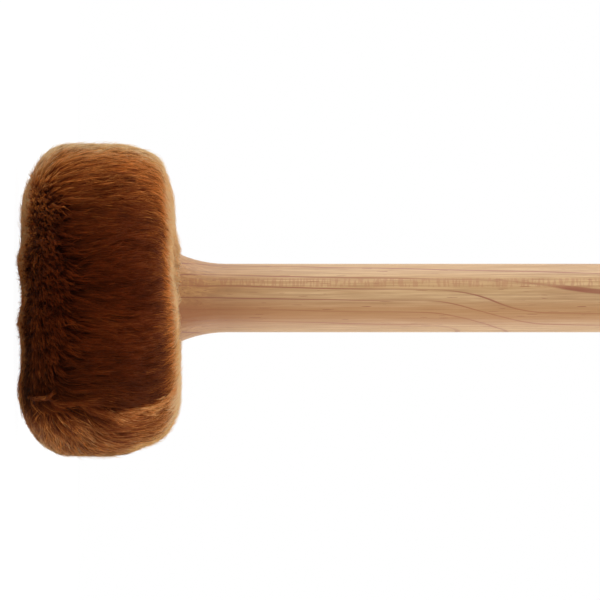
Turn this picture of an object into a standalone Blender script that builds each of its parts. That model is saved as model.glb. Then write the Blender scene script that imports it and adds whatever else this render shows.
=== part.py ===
"""Gong mallet: a turned maple handle, a wooden head core padded with felt, and a drawn fur cover.

The mallet stands on its striking face. The origin is the centre of that face, and +Z runs up the
handle to its butt. Sizes are in metres and angles in degrees.
"""

import math

import bpy
import numpy as np
from mathutils import Matrix

# Every seat between two pieces keeps this much room.
CLEARANCE = 0.0003

# Fur cover: the pile and its knitted backing, as one soft layer with rounded front and rear edges.
FUR_THICKNESS = 0.0040
FRONT_ROUND_RADIAL = 0.0220
FRONT_ROUND_AXIAL = 0.0170
REAR_ROUND_RADIAL = 0.0210
REAR_ROUND_AXIAL = 0.0220
PLEAT_COUNT = 16
PLEAT_HEIGHT = 0.0009
REAR_PLEAT_REACH = 0.0120
FRONT_PLEAT_REACH = 0.0080
FRONT_CLOSURE_RADIUS = 0.0025
SEAM_ANGLE = -46.0
SEAM_DEPTH = 0.0010

# Felt: a pad on each end of the core and two bands round it, each band closed by a skived joint.
FRONT_PAD_THICKNESS = 0.0080
REAR_PAD_THICKNESS = 0.0070
INNER_BAND_THICKNESS = 0.0050
OUTER_BAND_THICKNESS = 0.0054
BAND_EDGE_RADIUS = 0.0010
BAND_JOINT_GAP = 0.0006
BAND_JOINT_SLANT = 50.0
INNER_BAND_JOINT_ANGLE = 130.0
OUTER_BAND_JOINT_ANGLE = -60.0

# Core: a turned hardwood disc, bored for the handle's tenon and counterbored for its fixing.
CORE_DIAMETER = 0.0710
CORE_LENGTH = 0.0286
CORE_EDGE_RADIUS = 0.0025

# Fixing: a hexagon-head wood screw and a wide washer, let into the front of the core.
WASHER_DIAMETER = 0.0250
WASHER_THICKNESS = 0.0016
SCREW_DIAMETER = 0.0060
SCREW_LENGTH = 0.0350
SCREW_TIP_LENGTH = 0.0050
SCREW_HEAD_HEIGHT = 0.0040
SCREW_HEAD_ACROSS_FLATS = 0.0100
COUNTERBORE_MARGIN = 0.0005

# Handle: the grip flares to a shoulder that bears on the core, and ends there in a round tenon.
GRIP_DIAMETER = 0.0222
SHOULDER_TO_BUTT = 0.3265
SHOULDER_DIAMETER = 0.0340
SHOULDER_RIM_LENGTH = 0.0060
SHOULDER_EDGE_RADIUS = 0.0010
FLARE_RADIUS = 0.0380
BUTT_ROUND_RADIUS = 0.0055
TENON_DIAMETER = 0.0160
TENON_CHAMFER = 0.0010
PILOT_CONE_ANGLE = 59.0

# Drawstrings: one cord draws the cover in round the handle, the other closes it at the front.
CORD_DIAMETER = 0.0020
KNOT_DIAMETER = 0.0036
FRONT_CORD_RING_DIAMETER = 0.0120

# Fineness of the round surfaces
TURNED_STEPS = 48
STEPS_PER_PLEAT = 4
PLEAT_RINGS = 4
EDGE_POINTS = 8
ARC_POINTS = 5
SMALL_ARC_POINTS = 3
FLARE_POINTS = 9
CORD_RING_POINTS = 36
CORD_SIDES_RESOLUTION = 2
KNOT_SEGMENTS = 12
KNOT_RINGS = 8
AXIS_MERGE = 0.00001
SHARP_ANGLE = 35.0

# The stack along the axis, from the striking face up
front_pad_z = FUR_THICKNESS + CLEARANCE
core_z = front_pad_z + FRONT_PAD_THICKNESS + CLEARANCE
core_rear_z = core_z + CORE_LENGTH
shoulder_z = core_rear_z + CLEARANCE
rear_pad_rear_z = shoulder_z + REAR_PAD_THICKNESS
cover_inner_rear_z = rear_pad_rear_z + CLEARANCE
head_length = cover_inner_rear_z + FUR_THICKNESS
rim_end_z = shoulder_z + SHOULDER_RIM_LENGTH
butt_z = shoulder_z + SHOULDER_TO_BUTT

# The layers round the axis, from the core out
core_radius = CORE_DIAMETER / 2
inner_band_radius = core_radius + CLEARANCE
outer_band_radius = inner_band_radius + INNER_BAND_THICKNESS + CLEARANCE
band_outside_radius = outer_band_radius + OUTER_BAND_THICKNESS
head_radius = band_outside_radius + CLEARANCE + FUR_THICKNESS

# The fixing, let into the core from its front face
screw_head_z = core_z + CLEARANCE
washer_z = screw_head_z + SCREW_HEAD_HEIGHT + CLEARANCE
counterbore_floor_z = washer_z + WASHER_THICKNESS + CLEARANCE
counterbore_radius = WASHER_DIAMETER / 2 + COUNTERBORE_MARGIN
tenon_end_z = counterbore_floor_z + CLEARANCE
screw_tip_z = screw_head_z + SCREW_HEAD_HEIGHT + SCREW_LENGTH
pilot_radius = SCREW_DIAMETER / 2 + CLEARANCE

# The drawstrings and the room that the felt leaves them
grip_radius = GRIP_DIAMETER / 2
shoulder_radius = SHOULDER_DIAMETER / 2
knot_radius = KNOT_DIAMETER / 2
cord_radius = CORD_DIAMETER / 2
drawstring_room = max(CORD_DIAMETER, KNOT_DIAMETER) + CLEARANCE
rear_cord_inside_radius = shoulder_radius + CLEARANCE
rear_cord_top_z = cover_inner_rear_z - CLEARANCE
rear_pad_bore_radius = rear_cord_inside_radius + drawstring_room
front_cord_inside_radius = FRONT_CORD_RING_DIAMETER / 2 - cord_radius
front_cord_bottom_z = FUR_THICKNESS + PLEAT_HEIGHT + CLEARANCE
front_recess_radius = front_cord_inside_radius + drawstring_room
front_recess_floor_z = front_cord_bottom_z + drawstring_room


def clear_scene():
    for old in list(bpy.data.objects):
        bpy.data.objects.remove(old, do_unlink=True)


def new_collection(name):
    collection = bpy.data.collections.new(name)
    bpy.context.scene.collection.children.link(collection)
    return collection


def linear(hex_colour):
    """The linear RGBA of an sRGB colour such as 8A5A32."""
    channels = [int(hex_colour[i : i + 2], 16) / 255 for i in (0, 2, 4)]
    return [c / 12.92 if c <= 0.04045 else ((c + 0.055) / 1.055) ** 2.4 for c in channels] + [1]


def new_material(name, hex_colour, roughness, metallic=0.0):
    material = bpy.data.materials.new(name)
    material.use_nodes = True
    material.diffuse_color = linear(hex_colour)
    shader = material.node_tree.nodes["Principled BSDF"]
    shader.inputs["Base Color"].default_value = linear(hex_colour)
    shader.inputs["Roughness"].default_value = roughness
    shader.inputs["Metallic"].default_value = metallic
    return material


def add_object(name, data, collection, parent=None, z=0.0):
    obj = bpy.data.objects.new(name, data)
    collection.objects.link(obj)
    obj.parent = parent
    obj.location.z = z
    return obj


def arc(centre, radius, start, end, points=ARC_POINTS):
    """Points (r, z) along an arc, from one angle to the other. An angle of 0 points away from the axis."""
    angles = np.radians(np.linspace(start, end, points))
    return [(centre[0] + radius * math.cos(a), centre[1] + radius * math.sin(a)) for a in angles]


def turned(name, profile, closed, steps, collection, parent, z, material):
    """A piece turned about Z from a profile of (r, z) points in the mallet's frame, with its origin at z.

    The profile runs down its outer side. A closed profile makes a ring, and an open one starts and
    ends on the axis.
    """
    mesh = bpy.data.meshes.new(name)
    last = len(profile)
    edges = [(i, (i + 1) % last) for i in range(last if closed else last - 1)]
    mesh.from_pydata([(r, 0.0, height - z) for r, height in profile], edges, [])
    obj = add_object(name, mesh, collection, parent, z)
    mesh.materials.append(material)
    screw = obj.modifiers.new("turn", "SCREW")
    screw.steps = steps
    screw.render_steps = steps
    screw.use_merge_vertices = True
    screw.merge_threshold = AXIS_MERGE
    screw.use_smooth_shade = True
    return obj


def add_primitive(name, collection, parent, location):
    """Takes the primitive that was just added, names it and puts it in its place."""
    obj = bpy.context.object
    obj.name = name
    for old in list(obj.users_collection):
        old.objects.unlink(obj)
    collection.objects.link(obj)
    obj.parent = parent
    obj.location = location
    return obj


def evaluated_mesh(obj):
    """A new mesh of the object with its modifiers, or a curve's bevel, applied."""
    bpy.context.view_layer.update()
    graph = bpy.context.evaluated_depsgraph_get()
    return bpy.data.meshes.new_from_object(obj.evaluated_get(graph))


def apply_modifiers(obj):
    """Applies the modifiers and shades the piece smooth, with its true edges left sharp."""
    mesh = evaluated_mesh(obj)
    obj.modifiers.clear()
    obj.data = mesh
    mesh.shade_smooth()
    mesh.set_sharp_from_angle(angle=math.radians(SHARP_ANGLE))


def boolean(obj, other, operation):
    """Cuts other out of obj, or joins it on. Other stays with the cutters as a hidden helper."""
    modifier = obj.modifiers.new(operation.lower(), "BOOLEAN")
    modifier.operation = operation
    modifier.object = other
    other.hide_render = True
    other.display_type = "WIRE"


def cover_edge(depth):
    """Points (r, z) down the outside of the cover, from its rear flat to its front flat.

    They follow the rear edge's quarter ellipse, the straight side and the front edge's quarter
    ellipse, all moved inwards by depth.
    """
    points = []
    for radial, axial, middle_z, start, end in (
        (REAR_ROUND_RADIAL, REAR_ROUND_AXIAL, head_length - REAR_ROUND_AXIAL, 90, 0),
        (FRONT_ROUND_RADIAL, FRONT_ROUND_AXIAL, FRONT_ROUND_AXIAL, 0, -90),
    ):
        for angle in np.radians(np.linspace(start, end, EDGE_POINTS)):
            along_r, along_z = math.cos(angle), math.sin(angle)
            outward = np.array((along_r / radial, along_z / axial))
            outward /= np.linalg.norm(outward)
            on_edge = np.array((head_radius - radial + radial * along_r, middle_z + axial * along_z))
            points.append(tuple(on_edge - depth * outward))
    return points


def cover_radius(depth, z):
    """The radius at height z of the cover's outside, moved inwards by depth."""
    upwards = cover_edge(depth)[::-1]
    return float(np.interp(z, [p[1] for p in upwards], [p[0] for p in upwards]))


def flare_end():
    """The height where the flare's hollow arc meets the grip."""
    arc_rise = FLARE_RADIUS - shoulder_radius + grip_radius
    return rim_end_z + math.sqrt(FLARE_RADIUS**2 - arc_rise**2)


def flare_radius(z):
    """The handle's radius at height z: the shoulder's rim, then a hollow arc that meets the grip."""
    to_grip = flare_end() - z
    if z <= rim_end_z:
        return shoulder_radius
    if to_grip <= 0:
        return grip_radius
    return grip_radius + FLARE_RADIUS - math.sqrt(FLARE_RADIUS**2 - to_grip**2)


def flare_points():
    """Points (r, z) down the hollow arc, from the grip to the shoulder's rim."""
    heights = np.linspace(flare_end(), rim_end_z, FLARE_POINTS)
    return [(flare_radius(z), z) for z in heights]


def make_handle(collection, parent, material):
    """The whole handle is one turning: rounded butt, straight grip, flare, shoulder, bored tenon."""
    tenon_radius = TENON_DIAMETER / 2
    pilot_end_z = screw_tip_z + CLEARANCE
    pilot_cone = pilot_radius / math.tan(math.radians(PILOT_CONE_ANGLE))
    butt_centre = (grip_radius - BUTT_ROUND_RADIUS, butt_z - BUTT_ROUND_RADIUS)
    rim_centre = (shoulder_radius - SHOULDER_EDGE_RADIUS, shoulder_z + SHOULDER_EDGE_RADIUS)
    profile = [(0.0, butt_z)]
    profile += arc(butt_centre, BUTT_ROUND_RADIUS, 90, 0, EDGE_POINTS)
    profile += flare_points()
    profile += arc(rim_centre, SHOULDER_EDGE_RADIUS, 0, -90)
    profile += [
        (tenon_radius, shoulder_z),
        (tenon_radius, tenon_end_z + TENON_CHAMFER),
        (tenon_radius - TENON_CHAMFER, tenon_end_z),
        (pilot_radius, tenon_end_z),
        (pilot_radius, pilot_end_z),
        (0.0, pilot_end_z + pilot_cone),
    ]
    turned("handle", profile, False, TURNED_STEPS, collection, parent, shoulder_z, material)


def make_head_core(collection, parent, material):
    """A disc with eased edges, bored through for the tenon and counterbored for the washer."""
    edge_radius = core_radius - CORE_EDGE_RADIUS
    bore_radius = TENON_DIAMETER / 2 + CLEARANCE
    profile = [(bore_radius, core_rear_z)]
    profile += arc((edge_radius, core_rear_z - CORE_EDGE_RADIUS), CORE_EDGE_RADIUS, 90, 0)
    profile += arc((edge_radius, core_z + CORE_EDGE_RADIUS), CORE_EDGE_RADIUS, 0, -90)
    profile += [
        (counterbore_radius, core_z),
        (counterbore_radius, counterbore_floor_z),
        (bore_radius, counterbore_floor_z),
    ]
    turned("head_core", profile, True, TURNED_STEPS, collection, parent, core_z, material)


def make_core_washer(collection, parent, material):
    rear_z = washer_z + WASHER_THICKNESS
    profile = [
        (pilot_radius, rear_z),
        (WASHER_DIAMETER / 2, rear_z),
        (WASHER_DIAMETER / 2, washer_z),
        (pilot_radius, washer_z),
    ]
    turned("core_washer", profile, True, TURNED_STEPS, collection, parent, washer_z, material)


def make_core_screw(collection, cutters, parent, material):
    """A hexagon head with its shank and point, which holds the core on the tenon."""
    bpy.ops.mesh.primitive_cylinder_add(
        vertices=6,
        radius=SCREW_HEAD_ACROSS_FLATS / 2 / math.cos(math.radians(30)),
        depth=SCREW_HEAD_HEIGHT,
    )
    middle_z = screw_head_z + SCREW_HEAD_HEIGHT / 2
    head = add_primitive("core_screw", collection, parent, (0.0, 0.0, middle_z))
    head.data.materials.append(material)
    shank_radius = SCREW_DIAMETER / 2
    profile = [
        (0.0, screw_tip_z),
        (shank_radius, screw_tip_z - SCREW_TIP_LENGTH),
        (shank_radius, middle_z),
        (0.0, middle_z),
    ]
    shank = turned("screw_shank", profile, False, TURNED_STEPS // 2, cutters, parent, 0.0, material)
    boolean(head, shank, "UNION")


def make_band(name, inside, outside_profile, joint_angle, collection, cutters, parent, material):
    """One turn of felt round the core, from the radius inside out, with a skived joint."""
    profile = [(inside, core_rear_z)] + outside_profile + [(inside, core_z)]
    band = turned(name, profile, True, TURNED_STEPS, collection, parent, core_z, material)
    widest = max(r for r, z in outside_profile)
    middle = (inside + widest) / 2
    turn = math.radians(joint_angle)
    slant = math.radians(BAND_JOINT_SLANT)
    reach = 2 * (widest - inside) / math.cos(slant)
    place = (middle * math.cos(turn), middle * math.sin(turn), core_z + CORE_LENGTH / 2)
    bpy.ops.mesh.primitive_cube_add(size=1.0)
    blade = add_primitive(name + "_joint_blade", cutters, parent, place)
    blade.data.transform(Matrix.Diagonal((reach, BAND_JOINT_GAP, 2 * CORE_LENGTH, 1.0)))
    blade.rotation_euler.z = turn + slant
    boolean(band, blade, "DIFFERENCE")


def make_felt_bands(collection, cutters, parent, material):
    """The inner band is plain, and the outer one follows the inside of the cover."""
    outside = outer_band_radius - CLEARANCE
    edge = outside - BAND_EDGE_RADIUS
    inner = arc((edge, core_rear_z - BAND_EDGE_RADIUS), BAND_EDGE_RADIUS, 90, 0, SMALL_ARC_POINTS)
    inner += arc((edge, core_z + BAND_EDGE_RADIUS), BAND_EDGE_RADIUS, 0, -90, SMALL_ARC_POINTS)
    depth = FUR_THICKNESS + CLEARANCE
    outer = [(cover_radius(depth, core_rear_z), core_rear_z)]
    outer += [p for p in cover_edge(depth) if core_z < p[1] < core_rear_z]
    outer += [(cover_radius(depth, core_z), core_z)]
    for name, inside, profile, angle in (
        ("inner_felt_band", inner_band_radius, inner, INNER_BAND_JOINT_ANGLE),
        ("outer_felt_band", outer_band_radius, outer, OUTER_BAND_JOINT_ANGLE),
    ):
        make_band(name, inside, profile, angle, collection, cutters, parent, material)


def make_front_pad(collection, parent, material):
    """A felt disc behind the striking face, hollowed in the middle for the front drawstring."""
    depth = FUR_THICKNESS + CLEARANCE
    rear_z = core_z - CLEARANCE
    profile = [(0.0, rear_z), (cover_radius(depth, rear_z), rear_z)]
    profile += [p for p in cover_edge(depth) if p[1] < rear_z]
    profile += [
        (front_recess_radius, front_pad_z),
        (front_recess_radius, front_recess_floor_z),
        (0.0, front_recess_floor_z),
    ]
    turned("front_felt_pad", profile, False, TURNED_STEPS, collection, parent, front_pad_z, material)


def make_rear_pad(collection, parent, material):
    """A felt ring behind the core, with a bore that leaves room for the rear drawstring."""
    depth = FUR_THICKNESS + CLEARANCE
    profile = [(rear_pad_bore_radius, rear_pad_rear_z)]
    profile += [p for p in cover_edge(depth) if p[1] > shoulder_z]
    profile += [(cover_radius(depth, shoulder_z), shoulder_z), (rear_pad_bore_radius, shoulder_z)]
    turned("rear_felt_pad", profile, True, TURNED_STEPS, collection, parent, shoulder_z, material)


def drawn_in(point):
    """Moves a point of the cover where the cloth is gathered, and where the seam is pulled in.

    The pleats stand out of the rear face round the handle, and go into the front face round its
    closure, so that the striking face stays flat. Both die away towards the edge of the head.
    """
    x, y, z = point
    radius = math.hypot(x, y)
    turn = math.atan2(y, x)
    pleat = (1 + math.cos(PLEAT_COUNT * turn)) / 2
    at_rear = z > head_length / 2
    if at_rear:
        nearness = 1 - (radius - flare_radius(head_length)) / REAR_PLEAT_REACH
    else:
        nearness = 1 - (radius - FRONT_CLOSURE_RADIUS) / FRONT_PLEAT_REACH
    z += PLEAT_HEIGHT * pleat * min(1.0, max(0.0, nearness))
    steps = PLEAT_COUNT * STEPS_PER_PLEAT
    from_seam = math.remainder(turn - math.radians(SEAM_ANGLE), 2 * math.pi)
    on_seam = abs(from_seam) < math.pi / steps
    on_outside = radius > cover_radius(FUR_THICKNESS / 2, z)
    pull = SEAM_DEPTH / radius if on_seam and on_outside else 0.0
    return x * (1 - pull), y * (1 - pull), z


def make_fur_cover(collection, parent, material):
    """A soft shell over the whole head, open round the handle and drawn shut at the front."""
    rear_flat_radius = head_radius - REAR_ROUND_RADIAL
    rear_opening = flare_radius(head_length) + CLEARANCE
    inner_opening = flare_radius(cover_inner_rear_z) + CLEARANCE
    front_pleat_end = FRONT_CLOSURE_RADIUS + FRONT_PLEAT_REACH
    rear_pleat_end = min(rear_opening + REAR_PLEAT_REACH, rear_flat_radius - CLEARANCE)
    profile = [(r, head_length) for r in np.linspace(rear_opening, rear_pleat_end, PLEAT_RINGS)]
    profile += cover_edge(0.0)
    front_radii = np.linspace(front_pleat_end, FRONT_CLOSURE_RADIUS, PLEAT_RINGS)
    profile += [(r, 0.0) for r in front_radii]
    profile += [(r, FUR_THICKNESS) for r in (FRONT_CLOSURE_RADIUS, front_pleat_end)]
    profile += cover_edge(FUR_THICKNESS)[::-1]
    profile += [(r, cover_inner_rear_z) for r in (rear_pleat_end, inner_opening)]
    steps = PLEAT_COUNT * STEPS_PER_PLEAT
    cover = turned("fur_cover", profile, True, steps, collection, parent, 0.0, material)
    cover.data = evaluated_mesh(cover)
    cover.modifiers.clear()
    for vertex in cover.data.vertices:
        vertex.co = drawn_in(vertex.co)


def make_drawstring(name, ring, knot_centre, collection, cutters, parent, material):
    """A cord ring round the axis, tied off in one knot at the seam. Its places are (r, z)."""
    ring_radius, ring_z = ring
    curve = bpy.data.curves.new(name, "CURVE")
    curve.dimensions = "3D"
    curve.bevel_depth = cord_radius
    curve.bevel_resolution = CORD_SIDES_RESOLUTION
    spline = curve.splines.new("POLY")
    spline.points.add(CORD_RING_POINTS - 1)
    for i, point in enumerate(spline.points):
        turn = 2 * math.pi * i / CORD_RING_POINTS
        point.co = (ring_radius * math.cos(turn), ring_radius * math.sin(turn), 0.0, 1.0)
    spline.use_cyclic_u = True
    guide = add_object(name + "_line", curve, cutters, parent)
    mesh = evaluated_mesh(guide)
    bpy.data.objects.remove(guide)
    cord = add_object(name, mesh, collection, parent, ring_z)
    mesh.materials.append(material)
    knot_from_axis, knot_z = knot_centre
    turn = math.radians(SEAM_ANGLE)
    place = (knot_from_axis * math.cos(turn), knot_from_axis * math.sin(turn), knot_z)
    bpy.ops.mesh.primitive_uv_sphere_add(
        segments=KNOT_SEGMENTS, ring_count=KNOT_RINGS, radius=knot_radius
    )
    knot = add_primitive(name + "_knot", cutters, parent, place)
    boolean(cord, knot, "UNION")


def make_drawstrings(collection, cutters, parent, material):
    """The rear cord hugs the shoulder under the cover, and the front one lies on the cover's inside."""
    for name, inside, seat_z, side in (
        ("rear_drawstring", rear_cord_inside_radius, rear_cord_top_z, -1),
        ("front_drawstring", front_cord_inside_radius, front_cord_bottom_z, 1),
    ):
        ring = (inside + cord_radius, seat_z + side * cord_radius)
        knot_centre = (inside + knot_radius, seat_z + side * knot_radius)
        make_drawstring(name, ring, knot_centre, collection, cutters, parent, material)


def make_mallet():
    clear_scene()
    parts = new_collection("gong_mallet")
    cutters = new_collection("cutters")
    origin = add_object("striking_face_centre", None, parts)
    maple = new_material("oiled_maple", "D2A878", 0.5)
    hardwood = new_material("core_hardwood", "C49A6C", 0.6)
    steel = new_material("zinc_plated_steel", "B9BCC0", 0.35, 1.0)
    felt = new_material("wool_felt", "D8CFBF", 0.95)
    fur = new_material("brown_fur_cloth", "6B3413", 0.9)
    cotton = new_material("cotton_cord", "E4DCCB", 0.9)
    make_handle(parts, origin, maple)
    make_head_core(parts, origin, hardwood)
    make_core_washer(parts, origin, steel)
    make_core_screw(parts, cutters, origin, steel)
    make_felt_bands(parts, cutters, origin, felt)
    make_front_pad(parts, origin, felt)
    make_rear_pad(parts, origin, felt)
    make_fur_cover(parts, origin, fur)
    make_drawstrings(parts, cutters, origin, cotton)
    for piece in parts.objects:
        if piece.type == "MESH":
            apply_modifiers(piece)


make_mallet()
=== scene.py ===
"""The looks of a gong mallet: a turned maple handle in a padded head with a brown fur cover."""

import math

import bmesh
import bpy
import numpy as np
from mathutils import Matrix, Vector, noise
from mathutils.kdtree import KDTree


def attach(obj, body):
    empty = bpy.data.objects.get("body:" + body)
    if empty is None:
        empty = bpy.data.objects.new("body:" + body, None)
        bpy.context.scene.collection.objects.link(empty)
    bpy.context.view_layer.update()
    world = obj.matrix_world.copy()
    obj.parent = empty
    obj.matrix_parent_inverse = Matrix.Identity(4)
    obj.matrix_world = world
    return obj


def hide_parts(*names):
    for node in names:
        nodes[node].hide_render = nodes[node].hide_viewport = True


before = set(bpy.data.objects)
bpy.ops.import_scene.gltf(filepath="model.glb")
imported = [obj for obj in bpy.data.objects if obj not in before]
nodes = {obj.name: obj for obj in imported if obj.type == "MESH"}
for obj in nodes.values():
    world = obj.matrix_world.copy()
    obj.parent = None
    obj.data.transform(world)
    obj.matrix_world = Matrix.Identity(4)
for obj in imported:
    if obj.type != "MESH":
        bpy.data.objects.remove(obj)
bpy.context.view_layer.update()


# The handle. It is hard maple, turned in one piece, sanded along the grain and wiped with thin
# oil. Its shoulder and tenon sit inside the head, and a hollow flare leads from there to the grip.
RING_SPACING, RING_PHASE = 0.0036, 0.20
PITH_FROM_AXIS = (0.066, -0.012)
# Maple's fibres are about 0.05 mm wide and are drawn 0.35 mm wide, so that they show.
FIBRE_WIDTH = 0.00035
# The flecks and the rays' ticks have a width across the handle and a length along it.
FLECK_SIZE, RAY_TICK = (0.00024, 0.0045), (0.0045, 0.00085)
RAY_BAND, RAY_BAND_EDGE = (-0.0066, -0.0034), 0.0004
# The grain runs 2 % askew to the handle, and its lines bend once, as they do beside a knot.
GRAIN_RUN = 0.020
BEND_START, BEND_END, BEND_BY = 0.132, 0.171, 0.0062
BEND_ABOVE, BEND_BELOW = -0.0070, 0.0040
# The lines wander and fade and the wood's tint changes over patches of 17, 8 and 22 mm, drawn out
# 6 times along the handle. Near the head the wood is painted a little darker: painted shade from
# the head.
WANDER, WANDER_PATCH, FADE_PATCH, TINT_PATCH = 0.0030, 1 / 60, 1 / 130, 1 / 45
DRAWN_OUT, FIBRES_DRAWN_OUT = 0.16, 0.03
HEAD_SHADE_UP_TO, HEAD_SHADE_FROM = 0.098, 0.050


def colour(hex_code):
    """An sRGB hex colour as the linear RGBA that Blender's sockets take."""
    parts = [int(hex_code[i : i + 2], 16) / 255 for i in (0, 2, 4)]
    linear = [p / 12.92 if p <= 0.04045 else ((p + 0.055) / 1.055) ** 2.4 for p in parts]
    return (*linear, 1.0)


def add_node(tree, kind, inputs=None, stops=None, **settings):
    """Adds a node, sets it, and fills its inputs with values or with other nodes' outputs."""
    made = tree.nodes.new(kind)
    for name, value in settings.items():
        setattr(made, name, value)
    for key, value in (inputs or {}).items():
        if isinstance(value, bpy.types.NodeSocket):
            tree.links.new(value, made.inputs[key])
        else:
            made.inputs[key].default_value = value
    if stops:
        ramp = made.color_ramp
        while len(ramp.elements) < len(stops):
            ramp.elements.new(0.5)
        for element, (place, shade) in zip(ramp.elements, stops):
            element.position = place
            element.color = colour(shade) if isinstance(shade, str) else (shade, shade, shade, 1.0)
    return made


def empty_material(name):
    """A new material with an empty node tree, which is returned with it."""
    made = bpy.data.materials.new(name)
    made.use_nodes = True
    made.node_tree.nodes.clear()
    return made, made.node_tree


def set_material(obj, material):
    obj.data.materials.clear()
    obj.data.materials.append(material)


# Oiled maple. Fine brown growth lines run along the handle 3 to 4 mm apart, and one band between
# two of them shows the fine cross ticks of the rays. The oil leaves a satin surface, and the fine
# raised fibres catch a warm light where the wood is seen edge-on.
maple, tree = empty_material("oiled_hard_maple")
place = add_node(tree, "ShaderNodeTexCoord")
axes = add_node(tree, "ShaderNodeSeparateXYZ", {"Vector": place.outputs["Object"]})
patterns = {}
for kind, stretch, scale, detail, roughness in (
    ("wander", (1, 1, DRAWN_OUT), 1 / WANDER_PATCH, 3.0, 0.45),
    ("fade", (1, 1, DRAWN_OUT), 1 / FADE_PATCH, 2.0, 0.5),
    ("tint", (1, 1, DRAWN_OUT), 1 / TINT_PATCH, 1.0, 0.5),
    ("fibres", (1, 1, FIBRES_DRAWN_OUT), 1 / FIBRE_WIDTH / 2, 4.0, 0.62),
    ("ticks", (1 / RAY_TICK[0], 1 / RAY_TICK[0], 1 / RAY_TICK[1]), 1.0, 2.0, 0.5),
    ("flecks", (1 / FLECK_SIZE[0], 1 / FLECK_SIZE[0], 1 / FLECK_SIZE[1]), 0.7, 0.0, 0.5),
):
    space = add_node(
        tree, "ShaderNodeMapping", {"Vector": place.outputs["Object"], "Scale": stretch}
    )
    pattern = {
        "Vector": space.outputs["Vector"],
        "Scale": scale,
        "Detail": detail,
        "Roughness": roughness,
    }
    patterns[kind] = add_node(tree, "ShaderNodeTexNoise", pattern).outputs["Fac"]
bend = add_node(
    tree,
    "ShaderNodeMapRange",
    {"Value": axes.outputs["Z"], "From Min": BEND_START, "From Max": BEND_END, "To Max": BEND_BY},
    interpolation_type="SMOOTHSTEP",
)
bend_depth = add_node(
    tree,
    "ShaderNodeMapRange",
    {"Value": axes.outputs["X"], "From Min": BEND_ABOVE, "From Max": BEND_BELOW},
    interpolation_type="SMOOTHSTEP",
)
sway = add_node(
    tree,
    "ShaderNodeMath",
    {0: patterns["wander"], 1: WANDER, 2: -WANDER / 2},
    operation="MULTIPLY_ADD",
)
run_out = add_node(
    tree, "ShaderNodeMath", {0: axes.outputs["Z"], 1: GRAIN_RUN}, operation="MULTIPLY"
)
askew = add_node(
    tree,
    "ShaderNodeMath",
    {0: bend.outputs["Result"], 1: bend_depth.outputs["Result"], 2: run_out.outputs[0]},
    operation="MULTIPLY_ADD",
)
from_pith_x = add_node(
    tree, "ShaderNodeMath", {0: axes.outputs["X"], 1: askew.outputs[0]}, operation="SUBTRACT"
)
pith_x = add_node(
    tree,
    "ShaderNodeMath",
    {0: from_pith_x.outputs[0], 1: PITH_FROM_AXIS[0]},
    operation="SUBTRACT",
)
pith_y = add_node(
    tree, "ShaderNodeMath", {0: axes.outputs["Y"], 1: PITH_FROM_AXIS[1]}, operation="SUBTRACT"
)
pith_flat = add_node(
    tree, "ShaderNodeCombineXYZ", {"X": pith_x.outputs[0], "Y": pith_y.outputs[0]}
)
pith_length = add_node(
    tree, "ShaderNodeVectorMath", {0: pith_flat.outputs["Vector"]}, operation="LENGTH"
)
ring_place = add_node(
    tree, "ShaderNodeMath", {0: pith_length.outputs["Value"], 1: sway.outputs[0]}, operation="ADD"
)
ring_count = add_node(
    tree,
    "ShaderNodeMath",
    {0: ring_place.outputs[0], 1: 1 / RING_SPACING, 2: RING_PHASE},
    operation="MULTIPLY_ADD",
)
in_ring = add_node(tree, "ShaderNodeMath", {0: ring_count.outputs[0]}, operation="FRACT")
late_wood = add_node(
    tree,
    "ShaderNodeValToRGB",
    {"Fac": in_ring.outputs[0]},
    [
        (0.0, 0.06),
        (0.06, 0.0),
        (0.60, 0.04),
        (0.84, 0.14),
        (0.865, 1.0),
        (0.925, 0.9),
        (0.95, 0.12),
    ],
)
line_fade = add_node(
    tree,
    "ShaderNodeMapRange",
    {"Value": patterns["fade"], "From Min": 0.38, "From Max": 0.54, "To Min": 0.35},
)
line_now = add_node(
    tree,
    "ShaderNodeMath",
    {0: late_wood.outputs["Color"], 1: line_fade.outputs["Result"]},
    operation="MULTIPLY",
)
ground = add_node(
    tree,
    "ShaderNodeValToRGB",
    {"Fac": patterns["fibres"]},
    [(0.3, "A87F4F"), (0.5, "BC9462"), (0.7, "D1AC7C")],
)
broad_fade = add_node(
    tree,
    "ShaderNodeMapRange",
    {"Value": patterns["tint"], "From Min": 0.35, "From Max": 0.7, "To Max": 0.35},
)
# Painted shade: the handle's lower side, away from the key light, is painted a warmer, darker
# brown. The broad patches added to it are the wood's own tint.
lower_side_shade = add_node(
    tree,
    "ShaderNodeMapRange",
    {"Value": axes.outputs["X"], "From Min": -0.001, "From Max": 0.004, "To Max": 0.6},
    interpolation_type="SMOOTHSTEP",
)
lower_shade_end = add_node(
    tree,
    "ShaderNodeMapRange",
    {"Value": axes.outputs["X"], "From Min": 0.0100, "From Max": 0.0070},
)
lower_shade_and_tint = add_node(
    tree,
    "ShaderNodeMath",
    {
        0: lower_side_shade.outputs["Result"],
        1: lower_shade_end.outputs["Result"],
        2: broad_fade.outputs["Result"],
    },
    operation="MULTIPLY_ADD",
)
tick_mark = add_node(
    tree,
    "ShaderNodeMapRange",
    {"Value": patterns["ticks"], "From Min": 0.47, "From Max": 0.56, "To Max": 0.5},
)
tick_share = tick_mark.outputs["Result"]
for edge, fade in zip(RAY_BAND, (RAY_BAND_EDGE, -RAY_BAND_EDGE)):
    side = {"Value": axes.outputs["X"], "From Min": edge, "From Max": edge + fade}
    within = add_node(tree, "ShaderNodeMapRange", side).outputs["Result"]
    both = {0: tick_share, 1: within}
    tick_share = add_node(tree, "ShaderNodeMath", both, operation="MULTIPLY").outputs[0]
fleck_mark = add_node(
    tree,
    "ShaderNodeMapRange",
    {"Value": patterns["flecks"], "From Min": 0.78, "From Max": 0.80, "To Max": 0.75},
)
grain_and_shade = ground.outputs["Color"]
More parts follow.
